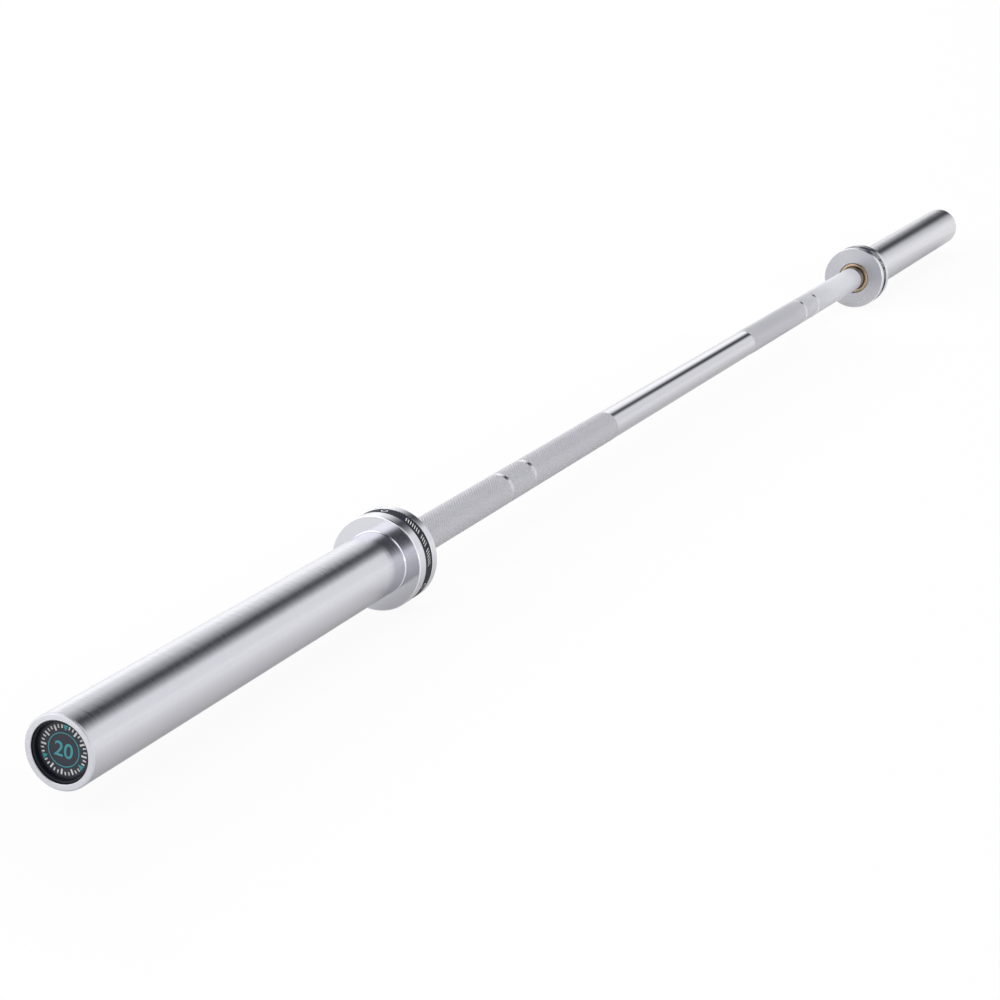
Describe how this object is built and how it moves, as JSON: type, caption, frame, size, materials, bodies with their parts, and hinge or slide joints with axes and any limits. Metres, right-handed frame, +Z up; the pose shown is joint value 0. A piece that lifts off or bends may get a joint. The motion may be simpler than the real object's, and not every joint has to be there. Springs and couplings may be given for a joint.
{
  "type": "olympic barbell",
  "caption": "Long straight steel weightlifting bar with a knurled grip, polished middle and free-spinning loading sleeves that end in wide plate collars.",
  "frame": {"origin": "on the bar's axis, midway between its two ends", "axes": "+X along the bar, towards the right sleeve; +Z up as the bar lies on its collars"},
  "size_m": [2.216, 0.075, 0.075],
  "materials": {
    "shaft_chrome": "bright chrome, knurled grips",
    "sleeve_chrome": "satin hard chrome",
    "collar_chrome": "satin hard chrome, turned faces",
    "band_black": "matte black",
    "bronze": "oiled sintered bronze",
    "washer_steel": "ground",
    "spring_steel": "blackened spring steel",
    "cap_plastic": "moulded black",
    "label_print": "dark grey printed vinyl with plain white and teal marks"
  },
  "bodies": {
    "shaft": {"shaft": "shaft_chrome", "left_inner_thrust_washer": "washer_steel", "left_outer_thrust_washer": "washer_steel", "left_shaft_snap_ring": "spring_steel", "right_inner_thrust_washer": "washer_steel", "right_outer_thrust_washer": "washer_steel", "right_shaft_snap_ring": "spring_steel"},
    "left_sleeve": {"left_sleeve_tube": "sleeve_chrome", "left_collar": "collar_chrome", "left_collar_band": "band_black", "left_inner_bushing": "bronze", "left_outer_bushing": "bronze", "left_bore_snap_ring": "spring_steel", "left_end_cap": "cap_plastic", "left_cap_label": "label_print"},
    "right_sleeve": {"right_sleeve_tube": "sleeve_chrome", "right_collar": "collar_chrome", "right_collar_band": "band_black", "right_inner_bushing": "bronze", "right_outer_bushing": "bronze", "right_bore_snap_ring": "spring_steel", "right_end_cap": "cap_plastic", "right_cap_label": "label_print"}
  },
  "joints": [
    {"name": "left_sleeve_spin", "type": "hinge", "parent": "shaft", "child": "left_sleeve", "pos_m": [-0.655, 0, 0], "axis": [1, 0, 0], "continuous": true},
    {"name": "right_sleeve_spin", "type": "hinge", "parent": "shaft", "child": "right_sleeve", "pos_m": [0.655, 0, 0], "axis": [1, 0, 0], "continuous": true}
  ]
}
